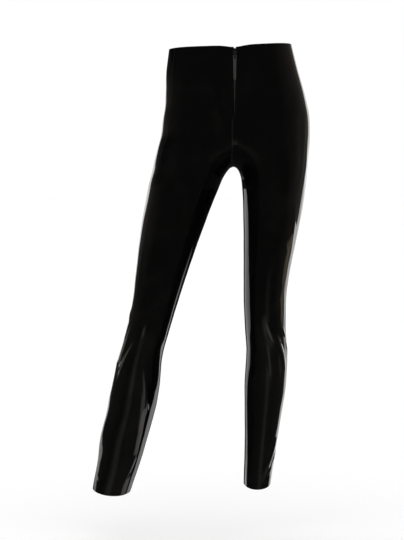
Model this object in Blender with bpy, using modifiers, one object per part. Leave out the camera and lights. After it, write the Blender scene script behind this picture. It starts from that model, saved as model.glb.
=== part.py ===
# Latex leggings as worn, hollow and open at the waist and both hems. Metres, +Z up, the front
# faces -Y and the origin is the centre of the waist. Left and right are the wearer's: left is +X.
# The left leg stands straight under the hip, the right leg is set aside and a little forward.

import math

import bmesh
import bpy
import numpy as np
from mathutils import Matrix, Vector

PART_NAME = "latex_leggings"

# Driving sizes.
LENGTH = 0.969  # waist to hem, straight down
WALL = 0.0012  # the cloth wall
SEAM_GAP = 0.0003
HIP_TILT = math.radians(2.3)  # the left hip is the higher one
CROTCH_FILLET = 0.0128  # half width of the soft join between the two legs
WAIST_DIP = 0.006  # the top edge is lower in front
WAIST_FADE = 0.045  # the dips die out over about this drop
WAIST_CORNER_DIP = 0.004  # and at the two sides
ZIP_DIP = 0.0042  # and a little lower still at the zip
ZIP_DIP_SPREAD = 0.022
HEM_DIP = 0.0075  # the hems hang lower in front
HEM_FADE = 0.050
HEM_LEAN = 0.17  # the set aside leg's hem is lifted on the outer side, by this slope
HEM_PIVOT = 0.5  # which turns this far in from the middle
COLUMNS = 11  # facets round half a leg

# Sections of the standing leg and its half of the hips. outer is the half width from the
# centre plane, front, side and back are depths along Y, square rounds (0) or squares the ring.
SECTION_COLUMNS = ("drop", "outer", "front", "side", "back", "square")
SECTIONS = (
    (0.000, 0.1275, -0.094, 0.004, 0.092, 0.02),
    (0.060, 0.1420, -0.099, 0.006, 0.101, 0.02),
    (0.120, 0.1590, -0.102, 0.010, 0.116, 0.02),
    (0.170, 0.1685, -0.102, 0.013, 0.126, 0.01),
    (0.210, 0.1690, -0.100, 0.014, 0.126, 0.00),
    (0.250, 0.1660, -0.097, 0.012, 0.117, 0.00),
    (0.300, 0.1615, -0.095, 0.008, 0.103, 0.00),
    (0.360, 0.1535, -0.092, 0.003, 0.092, 0.00),
    (0.430, 0.1395, -0.087, -0.002, 0.080, 0.00),
    (0.500, 0.1250, -0.079, -0.005, 0.068, 0.00),
    (0.560, 0.1175, -0.071, -0.004, 0.059, 0.00),
    (0.620, 0.1170, -0.063, 0.000, 0.056, 0.01),
    (0.690, 0.1210, -0.049, 0.011, 0.066, 0.00),
    (0.750, 0.1185, -0.039, 0.018, 0.072, 0.00),
    (0.810, 0.1095, -0.034, 0.019, 0.068, 0.00),
    (0.890, 0.0965, -0.030, 0.016, 0.056, 0.01),
    (LENGTH, 0.0845, -0.028, 0.013, 0.052, 0.02),
)

# Inner edge of the standing leg's ring. Over the hips it runs on to the far side, so that both
# halves close to one ring, and it meets the fillet at the crotch.
INSEAM_COLUMNS = ("drop", "inner")
INSEAM = (
    (0.000, -0.1275),
    (0.060, -0.1420),
    (0.110, -0.1555),
    (0.150, -0.1500),
    (0.180, -0.1200),
    (0.205, -0.0800),
    (0.225, -0.0430),
    (0.240, -0.0160),
    (0.252, 0.0020),
    (0.264, CROTCH_FILLET),
    (0.277, 0.0182),
    (0.292, 0.0214),
    (0.340, 0.0244),
    (0.430, 0.0255),
    (0.540, 0.0256),
    (0.620, 0.0285),
    (0.670, 0.0315),
    (0.750, 0.0282),
    (0.860, 0.0288),
    (LENGTH, 0.0265),
)

# How the other leg differs: widen scales it from the centre plane, aside and forward move it,
# deepen scales its depth.
ASIDE_COLUMNS = ("drop", "widen", "aside", "forward", "deepen")
SET_ASIDE = (
    (0.000, 1.115, 0.0000, 0.000, 1.00),
    (0.060, 1.050, 0.0000, 0.000, 1.00),
    (0.100, 0.978, 0.0000, 0.000, 1.00),
    (0.140, 0.938, 0.0000, 0.000, 1.00),
    (0.180, 0.944, 0.0000, 0.000, 1.00),
    (0.220, 1.005, 0.0000, 0.000, 1.00),
    (0.258, 1.080, 0.0000, 0.000, 1.00),
    (0.300, 1.120, 0.0085, 0.002, 1.00),
    (0.350, 1.107, 0.0265, 0.005, 1.00),
    (0.480, 1.105, 0.0730, 0.011, 1.00),
    (0.585, 1.060, 0.1065, 0.015, 1.00),
    (0.690, 1.085, 0.1280, 0.018, 1.00),
    (0.780, 1.210, 0.1390, 0.020, 0.95),
    (0.870, 1.390, 0.1585, 0.022, 0.86),
    (LENGTH, 1.362, 0.1964, 0.024, 0.80),
)

# The outseam runs in front of the widest line, by this angle round the ring in degrees.
OUTSEAM = ((0.000, 24.0), (0.300, 27.0), (0.600, 18.0), (LENGTH, 8.0))

# Half the gap between the front panels: open over the teeth, closed below the zip.
ZIP_END = 0.150
ZIP_GAP = (
    (0.000, 0.0024),
    (0.100, 0.0024),
    (0.125, 0.0013),
    (ZIP_END, 0.0008),
    (0.160, SEAM_GAP / 2),
    (LENGTH, SEAM_GAP / 2),
)

# The largest folds. side is +1 or -1, an angle of 0 is the outer side, -90 the front,
# 90 the back and 180 the inner side, and height is out of the cloth.
FOLD_COLUMNS = ("side", "drop_a", "angle_a", "drop_b", "angle_b", "height", "width")
FOLDS = (
    (1, 0.592, -98, 0.668, -68, 0.0024, 0.0065),
    (1, 0.622, -66, 0.722, -28, 0.0026, 0.0075),
    (1, 0.615, 120, 0.640, 60, 0.0022, 0.0070),
    (1, 0.655, 105, 0.672, 50, 0.0018, 0.0060),
    (1, 0.855, -20, 0.960, -80, 0.0030, 0.0080),
    (1, 0.930, 40, 0.955, 110, 0.0018, 0.0070),
    (-1, 0.580, -36, 0.664, -18, 0.0024, 0.0065),
    (-1, 0.608, -80, 0.716, -32, 0.0026, 0.0070),
    (-1, 0.600, 115, 0.632, 65, 0.0022, 0.0070),
    (-1, 0.648, 110, 0.660, 55, 0.0018, 0.0060),
    (-1, 0.690, -104, 0.800, -136, 0.0020, 0.0075),
)
FOLD_RADIUS = 0.048  # turns an angle round the leg into a distance

# Rows of facets down the leg: from, to, steps, and the end they crowd towards.
CROWDING = 1.5
ROW_BLOCKS = (
    (0.000, 0.160, 8, "even"),
    (0.160, "crotch", 12, "end"),
    ("crotch", 0.310, 6, "start"),
    (0.310, 0.555, 10, "even"),
    (0.555, 0.720, 14, "even"),
    (0.720, 0.875, 7, "even"),
    (0.875, LENGTH, 10, "even"),
)

# The zip, laid under the front panels' edges. out is a distance outwards from their outer face.
TAPE_TOP = 0.0010
TAPE_INNER = 0.0024
TAPE_OUTER = 0.0130
TAPE_THICK = 0.0010
TAPE_COLUMNS = 4
CHAIN_HALF = 0.0021
CHAIN_THICK = 0.0016
CHAIN_TOP = 0.0138
CLEAR = 0.0003
UNDER_CLOTH = WALL + CLEAR
ZIP_ROWS = 14

# The slider sits at the top of the zip. Along is up the zip from the slider's middle.
SLIDER_DROP = 0.0160
SLIDER_WIDTH = 0.0080
SLIDER_LENGTH = 0.0145
SLIDER_ROUNDING = 0.0004
PLATE_THICK = 0.0014
BACK_PLATE_THICK = 0.0010
NECK_WIDTH = 0.0024
NECK_LENGTH = 0.0020
BRIDGE_WIDTH = 0.0020
BRIDGE_BAR = 0.0010
TUNNEL_HEIGHT = 0.0024
TUNNEL_LOW = -0.0057
TUNNEL_HIGH = -0.0003
POST = 0.0012

# The pull tab hangs from its cross-bar inside the bridge.
PULL_ALONG = -0.0045  # the hinge axis, from the slider's middle
PULL_LENGTH = 0.0520
PULL_TOP_WIDTH = 0.0076
PULL_END_WIDTH = 0.0052
PULL_THICK = 0.0012
PULL_SLOT_WIDTH = 0.0036
PULL_SLOT_END = 0.0066
PULL_END_ARC = 8

# How the surface is worked out.
RASTER_STEP = 0.001
RASTER_BEYOND = 0.060  # the curves run on this far past the waist and the hems
RASTER = np.arange(-RASTER_BEYOND, LENGTH + RASTER_BEYOND, RASTER_STEP)
SOFTEN = 0.009  # spread that rounds the tables' curves
SOFTEN_INSEAM = 0.004
STEP = 1e-7  # for slopes
FINE_STEPS = 400  # along a row, before it is divided into columns
HALVINGS = 60  # of an angle that is searched for
SEARCH_FROM = math.radians(40)
BESIDE_CENTRE = 0.0005  # the centre front is read this far beside it
SHARP_EDGE = math.radians(50)
SIDES = {"left": 1, "right": -1}


def column(rows, index, spread):
    """The values down one column of a table, as a smooth curve on RASTER."""
    knots = np.array([row[0] for row in rows])
    values = np.array([row[index] for row in rows])
    runs = np.diff(knots)
    rises = np.diff(values) / runs
    slopes = np.empty(len(knots))
    slopes[0] = rises[0]
    slopes[-1] = rises[-1]
    same_way = rises[:-1] * rises[1:] > 0
    safe = np.where(same_way, rises[:-1] * rises[1:], 1.0)
    mean = 2.0 * safe / np.where(same_way, rises[:-1] + rises[1:], 1.0)
    slopes[1:-1] = np.where(same_way, mean, 0.0)
    span = np.clip(np.searchsorted(knots, RASTER) - 1, 0, len(runs) - 1)
    u = np.clip((RASTER - knots[span]) / runs[span], 0.0, 1.0)
    curve = (
        values[span] * (1 + 2 * u) * (1 - u) ** 2
        + values[span + 1] * u * u * (3 - 2 * u)
        + slopes[span] * runs[span] * u * (1 - u) ** 2
        - slopes[span + 1] * runs[span] * u * u * (1 - u)
    )
    curve += slopes[0] * np.minimum(RASTER - knots[0], 0.0)
    curve += slopes[-1] * np.maximum(RASTER - knots[-1], 0.0)
    reach = np.arange(-3 * spread, 3 * spread + RASTER_STEP / 2, RASTER_STEP)
    kernel = np.exp(-0.5 * (reach / spread) ** 2)
    kernel /= kernel.sum()
    padded = np.pad(curve, len(reach) // 2, mode="reflect", reflect_type="odd")
    return np.convolve(padded, kernel, mode="valid")


def table(names, rows, spread):
    """Each named column of a table as a curve."""
    return {name: column(rows, index + 1, spread) for index, name in enumerate(names[1:])}


SECTION = table(SECTION_COLUMNS, SECTIONS, SOFTEN)
INNER = table(INSEAM_COLUMNS, INSEAM, SOFTEN_INSEAM)
ASIDE = table(ASIDE_COLUMNS, SET_ASIDE, SOFTEN)


def read(curve, drop):
    return np.interp(drop, RASTER, curve)


def fold_height(side, drop, angle):
    """How far the folds lift the cloth there."""
    total = np.zeros(np.broadcast(drop, angle).shape)
    for row in FOLDS:
        fold = dict(zip(FOLD_COLUMNS, row))
        if fold["side"] != side:
            continue
        start = np.array([math.radians(fold["angle_a"]) * FOLD_RADIUS, fold["drop_a"]])
        end = np.array([math.radians(fold["angle_b"]) * FOLD_RADIUS, fold["drop_b"]])
        run = end - start
        length = np.linalg.norm(run)
        round_way = angle * FOLD_RADIUS - start[0]
        down = drop - start[1]
        along = (round_way * run[0] + down * run[1]) / length**2
        across = (round_way * run[1] - down * run[0]) / length
        taper = np.clip(4 * along * (1 - along), 0.0, 1.0)
        total = total + fold["height"] * taper**2 * np.exp(-((across / fold["width"]) ** 2))
    return total


def surface(side, drop, angle):
    """Points of the outer face, on the side +1 or -1, at a drop and an angle round the ring."""
    drop, angle = np.broadcast_arrays(np.asarray(drop, float), np.asarray(angle, float))
    outer = read(SECTION["outer"], drop)
    inner = read(INNER["inner"], drop)
    square = read(SECTION["square"], drop)
    middle = read(SECTION["side"], drop)
    across = (np.cos(angle) - square * np.cos(3 * angle)) / (1 - square)
    deep = (np.sin(angle) + square * np.sin(3 * angle)) / (1 - square)
    ring_x = (outer + inner) / 2 + (outer - inner) / 2 * across
    to_front = middle - read(SECTION["front"], drop)
    to_back = read(SECTION["back"], drop) - middle
    depth = np.where(deep < 0, to_front, to_back)
    y = depth * deep
    lift = fold_height(side, drop, angle)
    ring_x = ring_x + lift * np.cos(angle)
    y = y + lift * np.sin(angle)
    # The fillet is taken from the squares of the widths, which rounds the join at the centre plane.
    scale = outer**2 / (outer**2 - CROTCH_FILLET**2)
    x = np.sqrt(scale * (np.maximum(ring_x, CROTCH_FILLET) ** 2 - CROTCH_FILLET**2))
    if side < 0:
        x = x * read(ASIDE["widen"], drop) + read(ASIDE["aside"], drop)
        y = y * read(ASIDE["deepen"], drop) - read(ASIDE["forward"], drop)
    in_front = np.clip(-deep, 0.0, 1.0) ** 2
    dip = WAIST_DIP * in_front + WAIST_CORNER_DIP * np.clip(across, 0.0, 1.0) ** 6
    dip = dip + ZIP_DIP * np.exp(-((x / ZIP_DIP_SPREAD) ** 2)) * (deep < 0)
    hem_dip = HEM_DIP * in_front
    if side < 0:
        hem_dip = hem_dip - HEM_LEAN * (outer - inner) / 2 * (across + HEM_PIVOT)
    z = -drop + side * x * math.tan(HIP_TILT) - dip * np.exp(-((drop / WAIST_FADE) ** 2))
    z = z - hem_dip * np.exp(-(((LENGTH - drop) / HEM_FADE) ** 2))
    return np.stack([side * x, y + middle, z], axis=-1)


def normals(side, drop, angle):
    """Outward unit normals of the outer face."""
    down = surface(side, drop + STEP, angle) - surface(side, drop - STEP, angle)
    turn = surface(side, drop, angle + STEP) - surface(side, drop, angle - STEP)
    normal = np.cross(down, turn) * side
    return normal / np.linalg.norm(normal, axis=-1, keepdims=True)


def angle_at(side, drop, width):
    """The angle at which the ring comes within a width of the centre plane, or of the inseam."""
    drop = np.asarray(drop, float)
    low = np.full(drop.shape, SEARCH_FROM)
    inseam_turn = SEAM_GAP / 2 / (read(SECTION["back"], drop) - read(SECTION["side"], drop))
    high = math.pi - inseam_turn
    aside = read(ASIDE["aside"], drop) if side < 0 else 0.0
    last = high.copy()
    for _ in range(HALVINGS):
        mid = (low + high) / 2
        x = side * surface(side, drop, mid)[..., 0] - aside
        beyond = x < width
        high = np.where(beyond, mid, high)
        low = np.where(beyond, low, mid)
    return np.minimum(high, last)


def crotch_drop():
    """Where the two halves part into legs."""
    return float(np.interp(CROTCH_FILLET, INNER["inner"], RASTER))


def panel_angles(side, facing, drops, columns):
    """Angles of a panel's grid: each row runs from the outseam to the centre or the inseam."""
    levels = np.append(drops, crotch_drop())
    seam = np.radians(np.interp(levels, *zip(*OUTSEAM)))
    gap = np.interp(levels, *zip(*ZIP_GAP)) if facing < 0 else np.full(len(levels), SEAM_GAP / 2)
    last = angle_at(side, levels, gap) * facing
    fine = 1 - np.linspace(1.0, 0.0, FINE_STEPS) ** 2
    angles = -seam[:, None] + (last + seam)[:, None] * fine
    points = surface(side, levels[:, None], angles)
    steps = np.linalg.norm(np.diff(points, axis=1), axis=-1)
    travelled = np.concatenate([np.zeros((len(levels), 1)), np.cumsum(steps, axis=1)], axis=1)
    share = np.linspace(0.0, 1.0, columns + 1)
    grid = np.empty((len(drops), columns + 1))
    for row, drop in enumerate(drops):
        length = travelled[row, -1]
        # Above the crotch the columns keep their spacing and close up towards the centre.
        crowd = travelled[-1, -1] / length if drop < levels[-1] else 1.0
        places = length * crowd * share / (1 + (crowd - 1) * share**2)
        places[0] = SEAM_GAP / 2
        grid[row] = np.interp(places, travelled[row], angles[row])
    return grid


def row_drops():
    """The drop of each row of facets."""
    crotch = crotch_drop()
    drops = [0.0]
    for start, end, steps, crowd in ROW_BLOCKS:
        start = crotch if start == "crotch" else start
        end = crotch if end == "crotch" else end
        for step in range(1, steps + 1):
            share = step / steps
            if crowd == "end":
                share = 1 - (1 - share) ** CROWDING
            if crowd == "start":
                share = share**CROWDING
            drops.append(start + (end - start) * share)
    return np.array(drops)


def make_material(name, colour, roughness, metallic):
    material = bpy.data.materials.new(name)
    material.use_nodes = True
    shader = material.node_tree.nodes["Principled BSDF"]
    shader.inputs["Base Color"].default_value = (*colour, 1.0)
    shader.inputs["Roughness"].default_value = roughness
    shader.inputs["Metallic"].default_value = metallic
    material.diffuse_color = (*colour, 1.0)
    return material


def add_object(name, mesh_data, material, collection):
    obj = bpy.data.objects.new(name, mesh_data)
    collection.objects.link(obj)
    obj.data.materials.append(material)
    return obj


def make_wall(name, outside, inside, material, collection):
    """A closed wall between two grids of points, indexed by row and column."""
    rows, columns = outside.shape[:2]
    shape = bmesh.new()
    out, back = ([[shape.verts.new(point) for point in row] for row in grid] for grid in (outside, inside))
    for i in range(rows - 1):
        for j in range(columns - 1):
            shape.faces.new((out[i][j], out[i + 1][j], out[i + 1][j + 1], out[i][j + 1]))
            shape.faces.new((back[i][j], back[i][j + 1], back[i + 1][j + 1], back[i + 1][j]))
    rim = [(i, 0) for i in range(rows)]
    rim += [(rows - 1, j) for j in range(1, columns)]
    rim += [(i, columns - 1) for i in range(rows - 2, -1, -1)]
    rim += [(0, j) for j in range(columns - 2, -1, -1)]
    for (i, j), (m, n) in zip(rim, rim[1:]):
        shape.faces.new((out[m][n], out[i][j], back[i][j], back[m][n]))
    facing_out = np.cross(outside[1, 0] - outside[0, 0], outside[0, 1] - outside[0, 0])
    if np.dot(facing_out, outside[0, 0] - inside[0, 0]) < 0:
        bmesh.ops.reverse_faces(shape, faces=shape.faces)
    mesh_data = bpy.data.meshes.new(name)
    shape.to_mesh(mesh_data)
    shape.free()
    mesh_data.shade_smooth()
    mesh_data.set_sharp_from_angle(angle=SHARP_EDGE)
    return add_object(name, mesh_data, material, collection)


def make_panel(name, side, facing, material, collection):
    """facing is -1 for a front panel and +1 for a back one."""
    drops = row_drops()
    angles = panel_angles(side, facing, drops, COLUMNS)
    outside = surface(side, drops[:, None], angles)
    inside = outside - WALL * normals(side, drops[:, None], angles)
    return make_wall(name, outside, inside, material, collection)


def laid_under(side, drops, widths, depth):
    """Points at these widths from the centre plane, this far under the front panels' outer face."""
    angles = np.stack([-angle_at(side, drops, np.full(len(drops), width)) for width in widths], axis=1)
    points = surface(side, drops[:, None], angles)
    return points - depth * normals(side, drops[:, None], angles)


def make_tape(name, side, material, collection):
    drops = np.linspace(TAPE_TOP, ZIP_END, ZIP_ROWS)
    widths = np.linspace(TAPE_INNER, TAPE_OUTER, TAPE_COLUMNS)
    outside = laid_under(side, drops, widths, UNDER_CLOTH)
    inside = laid_under(side, drops, widths, UNDER_CLOTH + TAPE_THICK)
    return make_wall(name, outside, inside, material, collection)


def make_chain(name, material, collection):
    drops = np.linspace(CHAIN_TOP, ZIP_END, ZIP_ROWS)
    layers = []
    for depth in (UNDER_CLOTH, UNDER_CLOTH + CHAIN_THICK):
        left = laid_under(1, drops, [CHAIN_HALF], depth)
        right = left * [-1.0, 1.0, 1.0]
        layers.append(np.concatenate([left, right], axis=1))
    return make_wall(name, *layers, material, collection)


def zip_frame(drop):
    """A matrix on the centre front: X across, Y into the cloth, Z up along the zip."""
    angle = -angle_at(1, np.array([drop]), np.array([BESIDE_CENTRE]))
    point = Vector(surface(1, np.array([drop]), angle)[0])
    outward = Vector(normals(1, np.array([drop]), angle)[0])
    point.x = 0.0
    outward.x = 0.0
    outward.normalize()
    up = Vector((1, 0, 0)).cross(-outward)
    axes = Matrix((Vector((1, 0, 0)), -outward, up)).transposed().to_4x4()
    return Matrix.Translation(point) @ axes


def add_box(shape, low, high):
    """A block in a bmesh, between two corners given as (across, out, along)."""
    centre = [(a + b) / 2 for a, b in zip(low, high)]
    size = [b - a for a, b in zip(low, high)]
    place = Matrix.Translation((centre[0], -centre[1], centre[2]))
    bmesh.ops.create_cube(shape, size=1.0, matrix=place @ Matrix.Diagonal((*size, 1.0)))


def new_box_object(name, low, high, collection, bevel=0.0):
    shape = bmesh.new()
    add_box(shape, low, high)
    mesh_data = bpy.data.meshes.new(name)
    shape.to_mesh(mesh_data)
    shape.free()
    obj = bpy.data.objects.new(name, mesh_data)
    collection.objects.link(obj)
    if bevel:
        rounding = obj.modifiers.new("rounding", "BEVEL")
        rounding.width = bevel
        rounding.segments = 2
    return obj


def add_boolean(obj, other, operation):
    modifier = obj.modifiers.new(f"{operation.lower()}_{other.name}", "BOOLEAN")
    modifier.operation = operation
    modifier.object = other
    other.hide_render = True
    other.display_type = "WIRE"


def make_slider(frame, material, collection, cutters):
    """Two plates joined by the neck, with the bridge in front. out is from the panels' face."""
    half = SLIDER_WIDTH / 2
    reach = SLIDER_LENGTH / 2
    front = CLEAR + PLATE_THICK
    behind = -(UNDER_CLOTH + CHAIN_THICK + CLEAR)
    bar = front + TUNNEL_HEIGHT
    low, high = (-half, CLEAR, -reach), (half, front, reach)
    slider = new_box_object("zip_slider", low, high, collection, bevel=SLIDER_ROUNDING)
    slider.data.materials.append(material)
    neck_low = SLIDER_DROP - CHAIN_TOP + CLEAR
    root = BRIDGE_BAR / 2  # each piece runs this far into the plate that carries it
    pieces = {
        "slider_back_plate": ((-half, behind - BACK_PLATE_THICK, -reach), (half, behind, reach)),
        "slider_neck": (
            (-NECK_WIDTH / 2, behind - root, neck_low),
            (NECK_WIDTH / 2, CLEAR + root, neck_low + NECK_LENGTH),
        ),
        "slider_low_post": (
            (-BRIDGE_WIDTH / 2, front - root, TUNNEL_LOW - POST),
            (BRIDGE_WIDTH / 2, bar + root, TUNNEL_LOW),
        ),
        "slider_high_post": (
            (-BRIDGE_WIDTH / 2, front - root, TUNNEL_HIGH),
            (BRIDGE_WIDTH / 2, bar + root, TUNNEL_HIGH + POST),
        ),
        "slider_bridge_bar": (
            (-BRIDGE_WIDTH / 2, bar, TUNNEL_LOW - POST),
            (BRIDGE_WIDTH / 2, bar + BRIDGE_BAR, TUNNEL_HIGH + POST),
        ),
    }
    for name, (low, high) in pieces.items():
        piece = new_box_object(name, low, high, cutters)
        piece.parent = slider
        add_boolean(slider, piece, "UNION")
    slider.matrix_world = frame
    return slider


def make_pull(frame, material, collection, cutters):
    """The tab, with its origin on the hinge axis."""
    hinge = bpy.data.objects.new("pull_hinge", None)
    hinge.empty_display_size = 0.01
    collection.objects.link(hinge)
    out = CLEAR + PLATE_THICK + TUNNEL_HEIGHT / 2
    hinge.matrix_world = frame @ Matrix.Translation((0.0, -out, PULL_ALONG))
    top = PULL_THICK / 2  # the tab ends this far above its axis
    end = PULL_END_WIDTH / 2
    outline = [(-PULL_TOP_WIDTH / 2, top), (PULL_TOP_WIDTH / 2, top)]
    for step in range(PULL_END_ARC + 1):
        turn = math.pi * step / PULL_END_ARC
        outline.append((end * math.cos(turn), -(PULL_LENGTH - end) - end * math.sin(turn)))
    shape = bmesh.new()
    verts = [shape.verts.new((x, top, z)) for x, z in outline]
    face = shape.faces.new(verts)
    grown = bmesh.ops.extrude_face_region(shape, geom=[face])
    moved = [item for item in grown["geom"] if isinstance(item, bmesh.types.BMVert)]
    bmesh.ops.translate(shape, verts=moved, vec=(0.0, -PULL_THICK, 0.0))
    bmesh.ops.recalc_face_normals(shape, faces=shape.faces)
    mesh_data = bpy.data.meshes.new("zip_pull")
    shape.to_mesh(mesh_data)
    shape.free()
    pull = add_object("zip_pull", mesh_data, material, collection)
    pull.parent = hinge
    slot = new_box_object(
        "pull_slot",
        (-PULL_SLOT_WIDTH / 2, -PULL_THICK, -PULL_SLOT_END),
        (PULL_SLOT_WIDTH / 2, PULL_THICK, -top),
        cutters,
    )
    slot.parent = hinge
    add_boolean(pull, slot, "DIFFERENCE")
    return pull


def main():
    for obj in list(bpy.data.objects):
        bpy.data.objects.remove(obj, do_unlink=True)
    parts = bpy.data.collections.new(PART_NAME)
    cutters = bpy.data.collections.new("cutters")
    bpy.context.scene.collection.children.link(parts)
    bpy.context.scene.collection.children.link(cutters)

    for name, side in SIDES.items():
        for place, facing in (("front", -1), ("back", 1)):
            panel_name = f"{place}_{name}"
            latex = make_material(f"latex_{panel_name}", (0.010, 0.010, 0.011), 0.12, 0.0)
            make_panel(panel_name, side, facing, latex, parts)
        tape = make_material(f"tape_{name}", (0.016, 0.016, 0.017), 0.75, 0.0)
        make_tape(f"zip_tape_{name}", side, tape, parts)
    make_chain("zip_chain", make_material("zip_teeth", (0.10, 0.10, 0.10), 0.35, 1.0), parts)
    frame = zip_frame(SLIDER_DROP)
    make_slider(frame, make_material("slider_metal", (0.05, 0.05, 0.052), 0.30, 1.0), parts, cutters)
    make_pull(frame, make_material("pull_metal", (0.32, 0.31, 0.30), 0.32, 1.0), parts, cutters)


main()
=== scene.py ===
import math

import bmesh
import bpy
import numpy as np
from mathutils import Matrix, Vector


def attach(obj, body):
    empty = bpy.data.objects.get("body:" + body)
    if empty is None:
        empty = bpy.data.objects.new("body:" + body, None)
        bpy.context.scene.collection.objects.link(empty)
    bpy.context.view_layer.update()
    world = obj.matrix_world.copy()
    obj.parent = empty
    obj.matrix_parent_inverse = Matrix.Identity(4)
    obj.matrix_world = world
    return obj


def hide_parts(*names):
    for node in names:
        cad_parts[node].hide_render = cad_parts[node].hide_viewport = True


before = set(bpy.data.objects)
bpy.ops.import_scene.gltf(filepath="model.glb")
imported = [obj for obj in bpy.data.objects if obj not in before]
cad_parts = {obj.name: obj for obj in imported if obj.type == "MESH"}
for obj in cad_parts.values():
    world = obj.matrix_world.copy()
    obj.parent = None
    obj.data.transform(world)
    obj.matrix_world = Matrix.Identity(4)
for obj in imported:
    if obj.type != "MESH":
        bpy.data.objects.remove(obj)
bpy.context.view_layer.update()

# Latex leggings. Left is +X, which is on the right of the picture.
# drop is measured down from the waist. Angles run round a leg: 0 is its outer side, -90 the
# front, 90 the back and 180 the inner side.

print("frame loaded")

# The form that the cloth is stretched over, the same as in the CAD source.

form = {
    "length": 0.969,
    "hipTilt": math.radians(2.3),
    "crotchFillet": 0.0128,
    "waistDip": 0.006,
    "waistFade": 0.045,
    "waistCornerDip": 0.004,
    "zipDip": 0.0042,
    "zipDipSpread": 0.022,
    "hemDip": 0.0075,
    "hemFade": 0.050,
    "hemLean": 0.17,
    "hemPivot": 0.5,
    "zipEnd": 0.150,
    "seamGap": 0.0003,
    "step": 0.001,  # the curves are worked out this finely
    "beyond": 0.060,
    "soften": 0.009,
    "softenInseam": 0.004,
    # drop, half width, front, side, back, squareness
    "sections": (
        (0.000, 0.1275, -0.094, 0.004, 0.092, 0.02),
        (0.060, 0.1420, -0.099, 0.006, 0.101, 0.02),
        (0.120, 0.1590, -0.102, 0.010, 0.116, 0.02),
        (0.170, 0.1685, -0.102, 0.013, 0.126, 0.01),
        (0.210, 0.1690, -0.100, 0.014, 0.126, 0.00),
        (0.250, 0.1660, -0.097, 0.012, 0.117, 0.00),
        (0.300, 0.1615, -0.095, 0.008, 0.103, 0.00),
        (0.360, 0.1535, -0.092, 0.003, 0.092, 0.00),
        (0.430, 0.1395, -0.087, -0.002, 0.080, 0.00),
        (0.500, 0.1250, -0.079, -0.005, 0.068, 0.00),
        (0.560, 0.1175, -0.071, -0.004, 0.059, 0.00),
        (0.620, 0.1170, -0.063, 0.000, 0.056, 0.01),
        (0.690, 0.1210, -0.049, 0.011, 0.066, 0.00),
        (0.750, 0.1185, -0.039, 0.018, 0.072, 0.00),
        (0.810, 0.1095, -0.034, 0.019, 0.068, 0.00),
        (0.890, 0.0965, -0.030, 0.016, 0.056, 0.01),
        (0.969, 0.0845, -0.028, 0.013, 0.052, 0.02),
    ),
    # drop, inner edge of the standing leg's ring
    "inseam": (
        (0.000, -0.1275),
        (0.060, -0.1420),
        (0.110, -0.1555),
        (0.150, -0.1500),
        (0.180, -0.1200),
        (0.205, -0.0800),
        (0.225, -0.0430),
        (0.240, -0.0160),
        (0.252, 0.0020),
        (0.264, 0.0128),
        (0.277, 0.0182),
        (0.292, 0.0214),
        (0.340, 0.0244),
        (0.430, 0.0255),
        (0.540, 0.0256),
        (0.620, 0.0285),
        (0.670, 0.0315),
        (0.750, 0.0282),
        (0.860, 0.0288),
        (0.969, 0.0265),
    ),
    # drop, then how the leg that is set aside is widened, moved out, moved forward and deepened
    "setAside": (
        (0.000, 1.115, 0.0000, 0.000, 1.00),
        (0.060, 1.050, 0.0000, 0.000, 1.00),
        (0.100, 0.978, 0.0000, 0.000, 1.00),
        (0.140, 0.938, 0.0000, 0.000, 1.00),
        (0.180, 0.944, 0.0000, 0.000, 1.00),
        (0.220, 1.005, 0.0000, 0.000, 1.00),
        (0.258, 1.080, 0.0000, 0.000, 1.00),
        (0.300, 1.120, 0.0085, 0.002, 1.00),
        (0.350, 1.107, 0.0265, 0.005, 1.00),
        (0.480, 1.105, 0.0730, 0.011, 1.00),
        (0.585, 1.060, 0.1065, 0.015, 1.00),
        (0.690, 1.085, 0.1280, 0.018, 1.00),
        (0.780, 1.210, 0.1390, 0.020, 0.95),
        (0.870, 1.390, 0.1585, 0.022, 0.86),
        (0.969, 1.362, 0.1964, 0.024, 0.80),
    ),
    "outseam": ((0.000, 24.0), (0.300, 27.0), (0.600, 18.0), (0.969, 8.0)),
    "zipGap": (
        (0.000, 0.0024),
        (0.100, 0.0024),
        (0.125, 0.0013),
        (0.150, 0.0008),
        (0.160, 0.00015),
        (0.969, 0.00015),
    ),
}

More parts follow.
